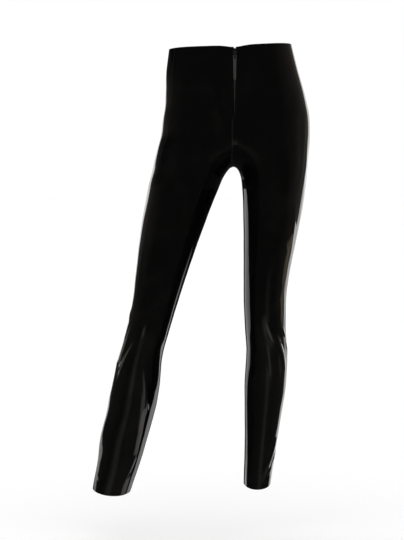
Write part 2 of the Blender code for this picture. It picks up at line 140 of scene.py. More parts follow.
# Soft troughs and ridges. side, then drop and angle at both ends, height out of the cloth, width.
folds = {
    "radius": 0.048,  # turns an angle round the leg into a distance
    "foldTaper": 4,
    "highlightTaper": 3,
    "main": (
        (1, 0.592, -98, 0.668, -68, 0.0024, 0.0042),
        (1, 0.622, -66, 0.722, -28, 0.0028, 0.0040),
        (1, 0.615, 120, 0.640, 60, 0.0022, 0.0070),
        (1, 0.655, 105, 0.672, 50, 0.0018, 0.0060),
        (1, 0.855, -20, 0.960, -80, 0.0032, 0.0050),
        (1, 0.930, 40, 0.955, 110, 0.0018, 0.0070),
        (-1, 0.598, -31, 0.694, -26, 0.0020, 0.0040),
        (-1, 0.630, -64, 0.722, -28, 0.0022, 0.0042),
        (-1, 0.600, 115, 0.632, 65, 0.0022, 0.0070),
        (-1, 0.648, 110, 0.660, 55, 0.0018, 0.0060),
        (-1, 0.690, -104, 0.800, -136, 0.0020, 0.0065),
    ),
    "fine": (
        (1, 0.620, -88, 0.668, -66, 0.0012, 0.0026),
        (1, 0.650, -96, 0.736, -78, 0.0012, 0.0030),
        (1, 0.612, -44, 0.650, -22, 0.0012, 0.0026),
        (1, 0.640, -30, 0.690, -12, 0.0012, 0.0028),
        (1, 0.925, -30, 0.950, -62, 0.0012, 0.0028),
        (1, 0.890, -12, 0.930, -44, 0.0014, 0.0030),
        (1, 0.660, -138, 0.700, -126, 0.0010, 0.0030),
        (1, 0.700, -124, 0.762, -136, 0.0010, 0.0030),
        (1, 0.765, -140, 0.850, -112, 0.0010, 0.0030),
        (1, 0.070, -28, 0.330, -62, 0.0012, 0.0060),
        (1, 0.100, -18, 0.350, -50, 0.0010, 0.0040),
        (1, 0.180, -20, 0.350, -36, 0.0010, 0.0036),
        (1, 0.310, -56, 0.480, -34, 0.0010, 0.0036),
        (1, 0.560, 40, 0.610, 90, 0.0014, 0.0040),
        (1, 0.690, 95, 0.720, 140, 0.0012, 0.0040),
        (-1, 0.590, -24, 0.660, -22, 0.0010, 0.0026),
        (-1, 0.640, -56, 0.700, -34, 0.0008, 0.0026),
        (-1, 0.560, -10, 0.600, -30, 0.0012, 0.0030),
        (-1, 0.745, -118, 0.800, -138, 0.0010, 0.0030),
        (-1, 0.870, -140, 0.960, -118, 0.0012, 0.0036),
        (-1, 0.930, -30, 0.960, -70, 0.0010, 0.0030),
        (-1, 0.340, -38, 0.560, -36, 0.0008, 0.0040),
        (-1, 0.350, -70, 0.450, -120, 0.0007, 0.0050),
        (-1, 0.560, 45, 0.600, 95, 0.0014, 0.0040),
        (-1, 0.690, 90, 0.725, 135, 0.0012, 0.0040),
        (-1, 0.920, 50, 0.950, 110, 0.0012, 0.0040),
    ),
    # Painted highlights along creases, a lighter colour where the creases would catch the light:
    # side, drop and angle at both ends, strength and width.
    "paintedHighlightCreases": (
        (1, 0.598, -95, 0.652, -76, 0.45, 0.0022),
        (1, 0.585, -97, 0.640, -92, 0.16, 0.0050),
        (1, 0.628, -62, 0.716, -31, 0.36, 0.0020),
        (1, 0.652, -93, 0.730, -80, 0.16, 0.0024),
        (1, 0.672, -60, 0.735, -50, 0.11, 0.0022),
        (1, 0.862, -24, 0.955, -76, 0.32, 0.0020),
        (1, 0.928, -34, 0.945, -60, 0.23, 0.0018),
        (-1, 0.596, -35, 0.698, -30, 1.20, 0.0016),
        (-1, 0.632, -61, 0.724, -33, 0.70, 0.0016),
        (-1, 0.596, -82, 0.626, -83, 0.20, 0.0020),
        (-1, 0.690, -105, 0.835, -131, 0.38, 0.0017),
        (-1, 0.738, -112, 0.838, -125, 0.36, 0.0026),
        (-1, 0.940, -20, 0.965, -40, 0.18, 0.0020),
    ),
    # The slow unevenness of stretched sheet: height, then how fast each wave runs down and round.
    "ripples": {
        "height": 0.00010,
        "fadeIn": 0.3,
        "slow": (61.0, 2.0, 37.0, 3.0),
        "quick": (143.0, 5.0, 29.0, 4.0),
        "quickShare": 0.6,
    },
}

sideNames = {1: "left", -1: "right"}
placeNames = {-1: "front", 1: "back"}

panelBuild = {
    "columns": 90,
    "sheet": 0.00045,  # thickness of the latex
    "lapRise": 0.00055,  # a lapped edge stands this far out
    "lapClimb": 0.006,  # and climbs over this distance
    "lapColumns": 4,
    "leastLap": 0.0002,
    # from, to, steps and the end that the rows crowd towards
    "rows": (
        (0.000, 0.160, 56, "even"),
        (0.160, "crotch", 56, "end"),
        ("crotch", 0.310, 32, "start"),
        (0.310, 0.570, 76, "even"),
        (0.570, 0.740, 116, "even"),
        (0.740, 0.969, 110, "even"),
    ),
    "crowding": 1.5,
    "firstAngle": math.radians(40),  # the search for an edge starts here
    "halvings": 60,
    "fineSteps": 500,
    "sharpAbove": math.radians(50),
}


def smoothColumn(rows, index, spread):
    knots = np.array([row[0] for row in rows])
    values = np.array([row[index] for row in rows])
    runs = np.diff(knots)
    rises = np.diff(values) / runs
    slopes = np.empty(len(knots))
    slopes[0] = rises[0]
    slopes[-1] = rises[-1]
    sameWay = rises[:-1] * rises[1:] > 0
    safe = np.where(sameWay, rises[:-1] * rises[1:], 1.0)
    mean = 2.0 * safe / np.where(sameWay, rises[:-1] + rises[1:], 1.0)
    slopes[1:-1] = np.where(sameWay, mean, 0.0)
    span = np.clip(np.searchsorted(knots, raster) - 1, 0, len(runs) - 1)
    u = np.clip((raster - knots[span]) / runs[span], 0.0, 1.0)
    curve = (
        values[span] * (1 + 2 * u) * (1 - u) ** 2
        + values[span + 1] * u * u * (3 - 2 * u)
        + slopes[span] * runs[span] * u * (1 - u) ** 2
        - slopes[span + 1] * runs[span] * u * u * (1 - u)
    )
    curve += slopes[0] * np.minimum(raster - knots[0], 0.0)
    curve += slopes[-1] * np.maximum(raster - knots[-1], 0.0)
    reach = np.arange(-3 * spread, 3 * spread + form["step"] / 2, form["step"])
    kernel = np.exp(-0.5 * (reach / spread) ** 2)
    kernel /= kernel.sum()
    padded = np.pad(curve, len(reach) // 2, mode="reflect", reflect_type="odd")
    return np.convolve(padded, kernel, mode="valid")


raster = np.arange(-form["beyond"], form["length"] + form["beyond"], form["step"])
curves = {
    name: smoothColumn(form["sections"], i + 1, form["soften"])
    for i, name in enumerate(("outer", "front", "side", "back", "square"))
}
curves["inner"] = smoothColumn(form["inseam"], 1, form["softenInseam"])
for i, name in enumerate(("widen", "aside", "forward", "deepen")):
    curves[name] = smoothColumn(form["setAside"], i + 1, form["soften"])


def curveAt(name, drop):
    return np.interp(drop, raster, curves[name])


def besideFold(row, drop, angle):
    # How far along the fold's line a point lies, from 0 to 1, and how far beside it in metres.
    dropA, angleA, dropB, angleB = row[1:5]
    start = (math.radians(angleA) * folds["radius"], dropA)
    run = (math.radians(angleB) * folds["radius"] - start[0], dropB - dropA)
    length = math.hypot(*run)
    roundWay = angle * folds["radius"] - start[0]
    down = drop - start[1]
    along = (roundWay * run[0] + down * run[1]) / length**2
    across = (roundWay * run[1] - down * run[0]) / length
    return along, across


def foldLift(side, drop, angle):
    total = np.zeros(np.broadcast(drop, angle).shape)
    for row in folds["main"] + folds["fine"]:
        if row[0] == side:
            height, width = row[5:]
            along, across = besideFold(row, drop, angle)
            taper = np.clip(folds["foldTaper"] * along * (1 - along), 0.0, 1.0)
            total = total + height * taper**2 * np.exp(-((across / width) ** 2))
    ripples = folds["ripples"]
    downA, roundA, downB, roundB = ripples["slow"]
    waves = np.sin(downA * drop + roundA * angle + side) * np.sin(downB * drop - roundB * angle)
    downA, roundA, downB, roundB = ripples["quick"]
    quick = np.sin(roundB * angle - downB * drop + side)
    waves = waves + ripples["quickShare"] * np.sin(downA * drop + roundA * angle) * quick
    return total + ripples["height"] * waves * np.clip(drop / ripples["fadeIn"], 0.0, 1.0)


# How strongly each point is painted with a crease highlight, from 0 up to its strength.
def paintedCreaseHighlight(side, drop, angle):
    total = np.zeros(np.broadcast(drop, angle).shape)
    for row in folds["paintedHighlightCreases"]:
        if row[0] == side:
            strength, width = row[5:]
            along, across = besideFold(row, drop, angle)
            taper = np.clip(folds["highlightTaper"] * along * (1 - along), 0.0, 1.0)
            total = np.maximum(total, strength * taper * np.exp(-((across / width) ** 2)))
    return total


def clothPoint(side, drop, angle):
    drop, angle = np.broadcast_arrays(np.asarray(drop, float), np.asarray(angle, float))
    outer = curveAt("outer", drop)
    inner = curveAt("inner", drop)
    square = curveAt("square", drop)
    middle = curveAt("side", drop)
    across = (np.cos(angle) - square * np.cos(3 * angle)) / (1 - square)
    deep = (np.sin(angle) + square * np.sin(3 * angle)) / (1 - square)
    ringX = (outer + inner) / 2 + (outer - inner) / 2 * across
    depth = np.where(deep < 0, middle - curveAt("front", drop), curveAt("back", drop) - middle)
    y = depth * deep
    lift = foldLift(side, drop, angle)
    ringX = ringX + lift * np.cos(angle)
    y = y + lift * np.sin(angle)
    fillet = form["crotchFillet"]
    scale = outer**2 / (outer**2 - fillet**2)
    x = np.sqrt(scale * (np.maximum(ringX, fillet) ** 2 - fillet**2))
    if side < 0:
        x = x * curveAt("widen", drop) + curveAt("aside", drop)
        y = y * curveAt("deepen", drop) - curveAt("forward", drop)
    inFront = np.clip(-deep, 0.0, 1.0) ** 2
    dip = form["waistDip"] * inFront + form["waistCornerDip"] * np.clip(across, 0.0, 1.0) ** 6
    dip = dip + form["zipDip"] * np.exp(-((x / form["zipDipSpread"]) ** 2)) * (deep < 0)
    hemDip = form["hemDip"] * inFront
    if side < 0:
        hemDip = hemDip - form["hemLean"] * (outer - inner) / 2 * (across + form["hemPivot"])
    z = -drop + side * x * math.tan(form["hipTilt"])
    z = z - dip * np.exp(-((drop / form["waistFade"]) ** 2))
    z = z - hemDip * np.exp(-(((form["length"] - drop) / form["hemFade"]) ** 2))
    return np.stack([side * x, y + middle, z], axis=-1)


def clothNormal(side, drop, angle):
    tiny = 1e-6
    down = clothPoint(side, drop + tiny, angle) - clothPoint(side, drop - tiny, angle)
    turn = clothPoint(side, drop, angle + tiny) - clothPoint(side, drop, angle - tiny)
    normal = np.cross(down, turn) * side
    return normal / np.maximum(np.linalg.norm(normal, axis=-1, keepdims=True), 1e-12)


def angleAtWidth(side, drop, width):
    drop = np.asarray(drop, float)
    low = np.full(drop.shape, panelBuild["firstAngle"])
    last = math.pi - form["seamGap"] / 2 / (curveAt("back", drop) - curveAt("side", drop))
    high = last.copy()
    aside = curveAt("aside", drop) if side < 0 else 0.0
    for _ in range(panelBuild["halvings"]):
        mid = (low + high) / 2
        beyond = side * clothPoint(side, drop, mid)[..., 0] - aside < width
        high = np.where(beyond, mid, high)
        low = np.where(beyond, low, mid)
    return np.minimum(high, last)


crotchDrop = float(np.interp(form["crotchFillet"], curves["inner"], raster))


def rowDrops():
    drops = [0.0]
    for start, end, steps, crowd in panelBuild["rows"]:
        start = crotchDrop if start == "crotch" else start
        end = crotchDrop if end == "crotch" else end
        for step in range(1, steps + 1):
            share = step / steps
            if crowd == "end":
                share = 1 - (1 - share) ** panelBuild["crowding"]
            if crowd == "start":
                share = share ** panelBuild["crowding"]
            drops.append(start + (end - start) * share)
    return np.array(drops)


def outseamAngle(drops):
    return np.radians(np.interp(drops, *zip(*form["outseam"])))


def panelAngles(side, facing, drops):
    # Even columns along the cloth, which close up towards the centre above the crotch.
    levels = np.append(drops, crotchDrop)
    seam = outseamAngle(levels)
    gap = np.full(len(levels), form["seamGap"] / 2)
    if facing < 0:
        gap = np.interp(levels, *zip(*form["zipGap"]))
    last = angleAtWidth(side, levels, gap) * facing
    fine = 1 - np.linspace(1.0, 0.0, panelBuild["fineSteps"]) ** 2
    angles = -seam[:, None] + (last + seam)[:, None] * fine
    points = clothPoint(side, levels[:, None], angles)
    steps = np.linalg.norm(np.diff(points, axis=1), axis=-1)
    travelled = np.concatenate([np.zeros((len(levels), 1)), np.cumsum(steps, axis=1)], axis=1)
    share = np.linspace(0.0, 1.0, panelBuild["columns"] + 1)
    grid = np.empty((len(drops), len(share)))
    places = np.empty((len(drops), len(share)))
    for row, drop in enumerate(drops):
        length = travelled[row, -1]
        crowd = travelled[-1, -1] / length if drop < crotchDrop else 1.0
        places[row] = length * crowd * share / (1 + (crowd - 1) * share**2)
        grid[row] = np.interp(places[row], travelled[row], angles[row])
    return grid, places, travelled[:-1, -1]


# The four cut panels lap over each other where they are glued.
laps = {
    "outseam": 0.0080,
    "inseam": 0.0060,
    "centre": 0.0060,
    "fadeAtCrotch": 0.014,
    "zipToSeam": (0.152, 0.166),  # the centre front lap starts below the zip
    "edgeReach": 0.0016,  # the cut edge of a lap is painted lighter this far in, a painted highlight of the edge catching light
}


def softStep(value):
    value = np.clip(value, 0.0, 1.0)
    return value * value * (3 - 2 * value)


def closeShell(name, outside, inside, cutEdgeHighlightMask, creaseHighlightMask):
    # A closed sheet between two grids of points. The rim has the second material slot.
    rows, columns = outside.shape[:2]
    count = rows * columns
    index = np.arange(count).reshape(rows, columns)
    quads = np.stack(
        [index[:-1, :-1], index[1:, :-1], index[1:, 1:], index[:-1, 1:]], axis=-1
    ).reshape(-1, 4)
    rim = np.concatenate(
        [index[:, 0], index[-1, 1:], index[-2::-1, -1], index[0, -2::-1]]
    )
    rimQuads = np.stack([rim[1:], rim[:-1], rim[:-1] + count, rim[1:] + count], axis=-1)
    faces = np.concatenate([quads, quads[:, ::-1] + count, rimQuads])
    mid = (rows // 2, columns // 2)
    down = outside[mid[0] + 1, mid[1]] - outside[mid]
    along = outside[mid[0], mid[1] + 1] - outside[mid]
    if np.dot(np.cross(down, along), outside[mid] - inside[mid]) < 0:
        faces = faces[:, ::-1]
    points = np.concatenate([outside.reshape(-1, 3), inside.reshape(-1, 3)])
    meshData = bpy.data.meshes.new(name)
    meshData.from_pydata(points.tolist(), [], faces.tolist())
    slots = np.zeros(len(faces), int)
    slots[-len(rimQuads):] = 1
    meshData.polygons.foreach_set("material_index", slots)
    # Masks of where lap edges and creases are painted lighter as painted highlights.
    for label, values in (("cutEdgeHighlightMask", cutEdgeHighlightMask), ("creaseHighlightMask", creaseHighlightMask)):
        mask = meshData.attributes.new(label, "FLOAT", "POINT")
        mask.data.foreach_set("value", np.concatenate([values.ravel(), values.ravel()]))
    meshData.shade_smooth()
    meshData.set_sharp_from_angle(angle=panelBuild["sharpAbove"])
    piece = bpy.data.objects.new(name, meshData)
    bpy.context.scene.collection.objects.link(piece)
    return piece


def lapWidths(side, facing, drops):
    # How far the last edge of a panel laps over its neighbour, row by row.
    fromCrotch = np.abs(drops - crotchDrop) / laps["fadeAtCrotch"]
    above = drops < crotchDrop
    width = np.zeros(len(drops))
    if facing > 0:
        width[~above] = laps["inseam"]
    if side > 0:
        width[above] = laps["centre"]
        if facing < 0:
            start, end = laps["zipToSeam"]
            width[above] *= softStep((drops[above] - start) / (end - start))
    return width * softStep(fromCrotch)


def clothSpeed(side, drops, angles, turn):
    # Metres of cloth to each radian.
    moved = clothPoint(side, drops, angles + turn) - clothPoint(side, drops, angles)
    return np.linalg.norm(moved, axis=-1) / abs(turn)


def makePanel(side, facing):
    drops = rowDrops()
    angles, places, lengths = panelAngles(side, facing, drops)
    level = drops[:, None]
    shares = np.arange(1, panelBuild["lapColumns"] + 1) / panelBuild["lapColumns"]
    least = panelBuild["leastLap"]

    # Past the outseam, over the front panel.
    tiny = 1e-4
    speed = clothSpeed(side, drops, angles[:, 0], tiny)
    firstWidth = laps["outseam"] if facing > 0 else least
    firstPlaces = -np.maximum(firstWidth, least) * shares[::-1] * np.ones((len(drops), 1))
    firstAngles = angles[:, :1] + firstPlaces * facing / speed[:, None]

    # Past the inseam on the same leg, or past the centre on the other half.
    lastWidth = np.maximum(lapWidths(side, facing, drops), least)
    lastPlaces = lastWidth[:, None] * shares
    speed = clothSpeed(side, drops, angles[:, -1], -tiny * facing)
    lastAngles = angles[:, -1:] + lastPlaces * facing / np.maximum(speed[:, None], tiny)
    allAngles = np.concatenate([firstAngles, angles, lastAngles], axis=1)
    points = clothPoint(side, level, allAngles)
    normals = clothNormal(side, level, allAngles)
    above = np.nonzero((drops < crotchDrop) & (lastWidth > least))[0]
    for column, share in enumerate(shares):
        place = points.shape[1] - len(shares) + column
        turned = facing * angleAtWidth(-side, drops[above], lastWidth[above] * share)
        points[above, place] = clothPoint(-side, drops[above], turned)
        normals[above, place] = clothNormal(-side, drops[above], turned)

    every = np.concatenate([firstPlaces, places, lengths[:, None] + lastPlaces], axis=1)
    climb = panelBuild["lapClimb"]
    rise = np.zeros(every.shape)
    # where the lap edges are painted lighter, a painted highlight; the rougher finish there is
    # real
    edge = np.zeros(every.shape)
    if facing > 0:
        rise = np.maximum(rise, softStep(1 - every / climb))
        edge = np.maximum(edge, np.exp(-(((every + laps["outseam"]) / laps["edgeReach"]) ** 2)))
    lapped = softStep(lapWidths(side, facing, drops) / laps["inseam"] * 2)[:, None]
    rise = np.maximum(rise, lapped * softStep(1 - (lengths[:, None] - every) / climb))
    fromEnd = (lengths + lastWidth)[:, None] - every
    edge = np.maximum(edge, lapped * np.exp(-((fromEnd / laps["edgeReach"]) ** 2)))
    outside = points + normals * (panelBuild["lapRise"] * rise)[..., None]
    inside = outside - normals * panelBuild["sheet"]
    # where the creases are painted with a highlight
    creaseHighlight = paintedCreaseHighlight(side, level, allAngles)
    name = f"{placeNames[facing]}_{sideNames[side]}_sheet"
    return closeShell(name, outside, inside, edge, creaseHighlight)


def standFor(piece, node):
    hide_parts(node)
    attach(piece, "garment")
    return piece


panels = {}
for side, sideName in sideNames.items():
    for facing, placeName in placeNames.items():
        node = f"{placeName}_{sideName}"
        panels[node] = standFor(makePanel(side, facing), node)
print("panels made")

zipBuild = {
    "beside": 0.0005,  # the zip follows the cloth this far beside its middle
    "under": 0.0015,  # below the cloth's outer face
    "thick": 0.0016,
    "top": 0.0138,
    "openTop": 0.0058,  # above the slider the teeth stand apart
    "apart": 0.0012,
    "pitch": 0.0013,  # from a tooth to the next one, on the other side
    "toothOutline": ((0.0020, 0.00034), (0.0009, 0.00034), (0.0004, 0.00050), (-0.0005, 0.00036)),
    "stopDrop": 0.0034,
    "stopSize": (0.0017, 0.0016, 0.0030),
    "stopInward": 0.0004,
    "stopSunk": 0.0005,
    "tapeInner": 0.0024,
    "tapeOuter": 0.0130,
    "tapeThick": 0.0006,
    "tapeTop": 0.0010,
    "tapeRows": 90,
    "tapeColumns": 8,
    "metalRounding": 0.00025,
    "roundingSteps": 3,
    "roundAbove": math.radians(40),
    "joinWithin": 0.00001,
}


def zipFrame(drop):
    # X across, Y into the cloth and Z up along the zip.
    angle = -angleAtWidth(1, np.array([drop]), np.array([zipBuild["beside"]]))
    point = Vector(clothPoint(1, np.array([drop]), angle)[0])
    outward = Vector(clothNormal(1, np.array([drop]), angle)[0])
    point.x = 0.0
    outward.x = 0.0
    outward.normalize()
    up = Vector((1, 0, 0)).cross(-outward)
    axes = Matrix((Vector((1, 0, 0)), -outward, up)).transposed().to_4x4()
    return Matrix.Translation(point) @ axes


def finishObject(name, shape):
    meshData = bpy.data.meshes.new(name)
    shape.to_mesh(meshData)
    shape.free()
    piece = bpy.data.objects.new(name, meshData)
    bpy.context.scene.collection.objects.link(piece)
    return piece


def roundEdges(piece, width):
    bevel = piece.modifiers.new("rounding", "BEVEL")
    bevel.width = width
    bevel.segments = zipBuild["roundingSteps"]
    bevel.limit_method = "ANGLE"
    bevel.angle_limit = zipBuild["roundAbove"]
    bevel.harden_normals = True


def makeTeeth():
    shape = bmesh.new()
    outline = zipBuild["toothOutline"]
    ring = [(x, z) for x, z in outline] + [(x, -z) for x, z in reversed(outline)]
    count = int((form["zipEnd"] - zipBuild["top"]) / zipBuild["pitch"])
    openCount = int((zipBuild["top"] - zipBuild["openTop"]) / zipBuild["pitch"])
    for tooth in range(-openCount, count):
        place = zipFrame(zipBuild["top"] + (tooth + 0.5) * zipBuild["pitch"])
        hand = 1 if tooth % 2 else -1
        aside = zipBuild["apart"] if tooth < 0 else 0.0
        layers = []
        for depth in (zipBuild["under"], zipBuild["under"] + zipBuild["thick"]):
            corners = [Vector((hand * (x + aside), depth, z)) for x, z in ring]
            layers.append([shape.verts.new(place @ corner) for corner in corners])
        shape.faces.new(layers[0])
        shape.faces.new(layers[1][::-1])
        for i in range(len(ring)):
            j = (i + 1) % len(ring)
            shape.faces.new((layers[0][j], layers[0][i], layers[1][i], layers[1][j]))
    place = zipFrame(zipBuild["stopDrop"])
    for hand in (-1, 1):
        aside = zipBuild["tapeInner"] - zipBuild["stopInward"]
        centre = Vector((hand * aside, zipBuild["under"] + zipBuild["stopSunk"], 0.0))
        size = Matrix.Diagonal((*zipBuild["stopSize"], 1.0))
        bmesh.ops.create_cube(shape, size=1.0, matrix=place @ Matrix.Translation(centre) @ size)
    bmesh.ops.recalc_face_normals(shape, faces=shape.faces)
    piece = finishObject("zip_teeth", shape)
    roundEdges(piece, zipBuild["metalRounding"] / 2)
    return piece


def makeTape(side, name):
    drops = np.linspace(zipBuild["tapeTop"], form["zipEnd"], zipBuild["tapeRows"])
    widths = np.linspace(zipBuild["tapeInner"], zipBuild["tapeOuter"], zipBuild["tapeColumns"])
    angles = np.stack(
        [-angleAtWidth(side, drops, np.full(len(drops), width)) for width in widths], axis=1
    )
    points = clothPoint(side, drops[:, None], angles)
    normals = clothNormal(side, drops[:, None], angles)
    outside = points - normals * zipBuild["under"]
    inside = outside - normals * zipBuild["tapeThick"]
    plain = np.zeros(angles.shape)
    return closeShell(name, outside, inside, plain, plain)


teeth = standFor(makeTeeth(), "zip_chain")
tapes = {}
for side, sideName in sideNames.items():
    node = f"zip_tape_{sideName}"
    tapes[node] = standFor(makeTape(side, f"{node}_woven"), node)
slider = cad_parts["zip_slider"]
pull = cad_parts["zip_pull"]
for metalPart in (slider, pull):
    # The frame's faces come apart at sharp edges, so they are joined before rounding.
    joining = metalPart.modifiers.new("joining", "WELD")
    joining.merge_threshold = zipBuild["joinWithin"]
    roundEdges(metalPart, zipBuild["metalRounding"])
print("zip made")

latexLook = {
    "tone": (0.0012, 0.0012, 0.0012, 1.0),
    "hazeTone": (0.0026, 0.0025, 0.0024, 1.0),
    "gloss": 0.045,
    "hazeGloss": 0.035,  # what haze adds to the roughness
    "haze": {"Scale": 13.0, "Detail": 5.0, "Roughness": 0.55, "Distortion": 0.8},
    "hazeRange": (0.46, 0.74),
    "streaks": {"Scale": 1.0, "Detail": 3.0},
    "streakStretch": (90.0, 90.0, 7.0),
    "streakRange": (0.55, 0.85),
    "streakShare": 0.35,
    "dustScale": 520.0,
    "dustRange": (0.09, 0.03),
    "peel": {"Scale": 210.0, "Detail": 2.0},
    "peelHeight": 0.000004,
    # cut edges painted lighter, a painted highlight of the lapped edge catching light
    "edgeHighlightTone": (0.011, 0.0105, 0.010, 1.0),
    "edgeGloss": 0.28,
    # share of that painted edge highlight on the rim faces
    "rimEdgeHighlightMask": 0.6,
    # colour of the painted highlight along the creases
    "creaseHighlightTone": (0.115, 0.110, 0.103, 1.0),
    "ior": 1.50,
}
metalLook = {
    "teeth": {"tone": (0.11, 0.105, 0.10, 1.0), "gloss": 0.34, "metal": 0.55},
    "slider": {"tone": (0.024, 0.0235, 0.023, 1.0), "gloss": 0.26, "metal": 0.60},
    "pull": {"tone": (0.062, 0.060, 0.058, 1.0), "gloss": 0.36, "metal": 0.45},
    "grain": {"Scale": 900.0, "Detail": 4.0},
    "grainStretch": (1.0, 1.0, 0.08),
    "grainShade": (0.75, 1.25),
    "grainHeight": 0.00002,
}
tapeLook = {
    "tone": (0.012, 0.012, 0.013, 1.0),
    "lift": 2.2,  # how much lighter the top of a thread is painted, a painted highlight
    "roughness": 0.8,
    "ribs": {"Scale": 1500.0 / math.tau, "Distortion": 0.4},
    "height": 0.00012,
}


def addNode(tree, kind, place, **settings):
    node = tree.nodes.new(kind)
    node.location = place
    for name, value in settings.items():
        setattr(node, name, value)
    return node


def setInputs(node, **values):
    # A value is either a number or colour, or an output to link.
    for name, value in values.items():
        if isinstance(value, bpy.types.NodeSocket):
            node.id_data.links.new(value, node.inputs[name])
        else:
            node.inputs[name].default_value = value


def makeRange(tree, value, fromMin, fromMax, place=(0, 0), toMin=0.0, toMax=1.0, kind="LINEAR"):
    node = addNode(tree, "ShaderNodeMapRange", place, interpolation_type=kind)
    setInputs(node, **{
        "Value": value, "From Min": fromMin, "From Max": fromMax, "To Min": toMin, "To Max": toMax,
    })
    return node.outputs["Result"]


def makeMix(tree, factor, first, second, place=(0, 0), kind="RGBA"):
    node = addNode(tree, "ShaderNodeMix", place, data_type=kind)
    setInputs(node, Factor=factor, A=first, B=second)
    return node.outputs["Result"]


def makeMath(tree, operation, values, place=(0, 0), clamp=False):
    node = addNode(tree, "ShaderNodeMath", place, operation=operation, use_clamp=clamp)
    for number, value in enumerate(values):
        if isinstance(value, bpy.types.NodeSocket):
            tree.links.new(value, node.inputs[number])
        else:
            node.inputs[number].default_value = value
    return node.outputs["Value"]


def makeNoise(tree, vector, settings, place):
    node = addNode(tree, "ShaderNodeTexNoise", place)
    setInputs(node, Vector=vector, **settings)
    return node.outputs["Fac"]


def makeStretch(tree, vector, scale, place):
    node = addNode(tree, "ShaderNodeMapping", place)
    setInputs(node, Vector=vector, Scale=scale)
    return node.outputs["Vector"]


def newGroup(name, inputs, outputs):
    tree = bpy.data.node_groups.new(name, "ShaderNodeTree")
    for socket, kind in inputs:
        tree.interface.new_socket(name=socket, in_out="INPUT", socket_type=kind)
    for socket, kind in outputs:
        tree.interface.new_socket(name=socket, in_out="OUTPUT", socket_type=kind)
    start = addNode(tree, "NodeGroupInput", (-900, 0))
    end = addNode(tree, "NodeGroupOutput", (900, 0))
    return tree, start.outputs, end.inputs


surfaceOutputs = (
    ("Color", "NodeSocketColor"),
    ("Roughness", "NodeSocketFloat"),
    ("Height", "NodeSocketFloat"),
)


def makeLatexGroup():
    tree, given, made = newGroup(
        "latexSheet",
        (
            ("Tone", "NodeSocketColor"),
            ("Haze Tone", "NodeSocketColor"),
            ("Edge Highlight Tone", "NodeSocketColor"),
            ("Gloss", "NodeSocketFloat"),
            ("Haze Gloss", "NodeSocketFloat"),
            ("Edge Gloss", "NodeSocketFloat"),
            ("Cut Edge Highlight Mask", "NodeSocketFloat"),
            ("Crease Highlight Tone", "NodeSocketColor"),
            ("Crease Highlight Mask", "NodeSocketFloat"),
        ),
        surfaceOutputs,
    )
    join = tree.links.new
    place = addNode(tree, "ShaderNodeTexCoord", (-900, -300)).outputs["Object"]

    haze = makeNoise(tree, place, latexLook["haze"], (-600, 200))
    hazeMask = makeRange(tree, haze, *latexLook["hazeRange"], (-400, 200), kind="SMOOTHSTEP")
    stretched = makeStretch(tree, place, latexLook["streakStretch"], (-750, -50))
    streaks = makeNoise(tree, stretched, latexLook["streaks"], (-600, -50))
    streakMask = makeRange(tree, streaks, *latexLook["streakRange"], (-400, -50))

    dust = addNode(tree, "ShaderNodeTexVoronoi", (-600, -300), feature="F1")
    setInputs(dust, Vector=place, Scale=latexLook["dustScale"])
    dustMask = makeRange(tree, dust.outputs["Distance"], *latexLook["dustRange"], (-400, -300))
    dustInHaze = makeMath(tree, "MULTIPLY", (dustMask, hazeMask), (-200, -300))

    parts = (streakMask, latexLook["streakShare"], hazeMask)
    both = makeMath(tree, "MULTIPLY_ADD", parts, (-200, 100), clamp=True)
    everyMask = makeMath(tree, "ADD", (both, dustInHaze), (0, 0), clamp=True)
    hazed = makeMix(tree, everyMask, given["Tone"], given["Haze Tone"], (250, 200))
    # creases painted lighter, a painted highlight
    creaseHighlighted = makeMix(tree, given["Crease Highlight Mask"], hazed, given["Crease Highlight Tone"], (350, 350))
    # lighter colour at the cut edges, a painted highlight
    edged = makeMix(tree, given["Cut Edge Highlight Mask"], creaseHighlighted, given["Edge Highlight Tone"], (450, 200))
    join(edged, made["Color"])

    parts = (both, given["Haze Gloss"], given["Gloss"])
    rough = makeMath(tree, "MULTIPLY_ADD", parts, (250, -50))
    roughEdge = makeMix(tree, given["Cut Edge Highlight Mask"], rough, given["Edge Gloss"], (450, -50), "FLOAT")
    join(roughEdge, made["Roughness"])

    join(makeNoise(tree, place, latexLook["peel"], (-600, -550)), made["Height"])
    return tree


def makeMetalGroup():
    tree, given, made = newGroup(
        "wornMetal", (("Tone", "NodeSocketColor"), ("Gloss", "NodeSocketFloat")), surfaceOutputs
    )
    join = tree.links.new
    place = addNode(tree, "ShaderNodeTexCoord", (-900, -200)).outputs["Object"]
    stretched = makeStretch(tree, place, metalLook["grainStretch"], (-700, -200))
    grain = makeNoise(tree, stretched, metalLook["grain"], (-500, -200))
    shade = makeRange(tree, grain, 0.0, 1.0, (-250, 100), *metalLook["grainShade"])
    tinted = addNode(tree, "ShaderNodeVectorMath", (0, 100), operation="SCALE")
    join(given["Tone"], tinted.inputs[0])
    join(shade, tinted.inputs["Scale"])
    join(tinted.outputs["Vector"], made["Color"])
    join(makeMath(tree, "MULTIPLY", (shade, given["Gloss"]), (0, -100)), made["Roughness"])
    join(grain, made["Height"])
    return tree


def newMaterial(name):
    material = bpy.data.materials.new(name)
    material.use_nodes = True
    return material, material.node_tree, material.node_tree.nodes["Principled BSDF"]


def addBump(tree, height, distance, shader):
    bump = addNode(tree, "ShaderNodeBump", (-200, -300))
    setInputs(bump, Height=height, Distance=distance)
    setInputs(shader, Normal=bump.outputs["Normal"])


def joinSurface(tree, group, shader, distance):
    setInputs(shader, Roughness=group.outputs["Roughness"])
    setInputs(shader, **{"Base Color": group.outputs["Color"]})
    addBump(tree, group.outputs["Height"], distance, shader)


latexGroup = makeLatexGroup()
metalGroup = makeMetalGroup()


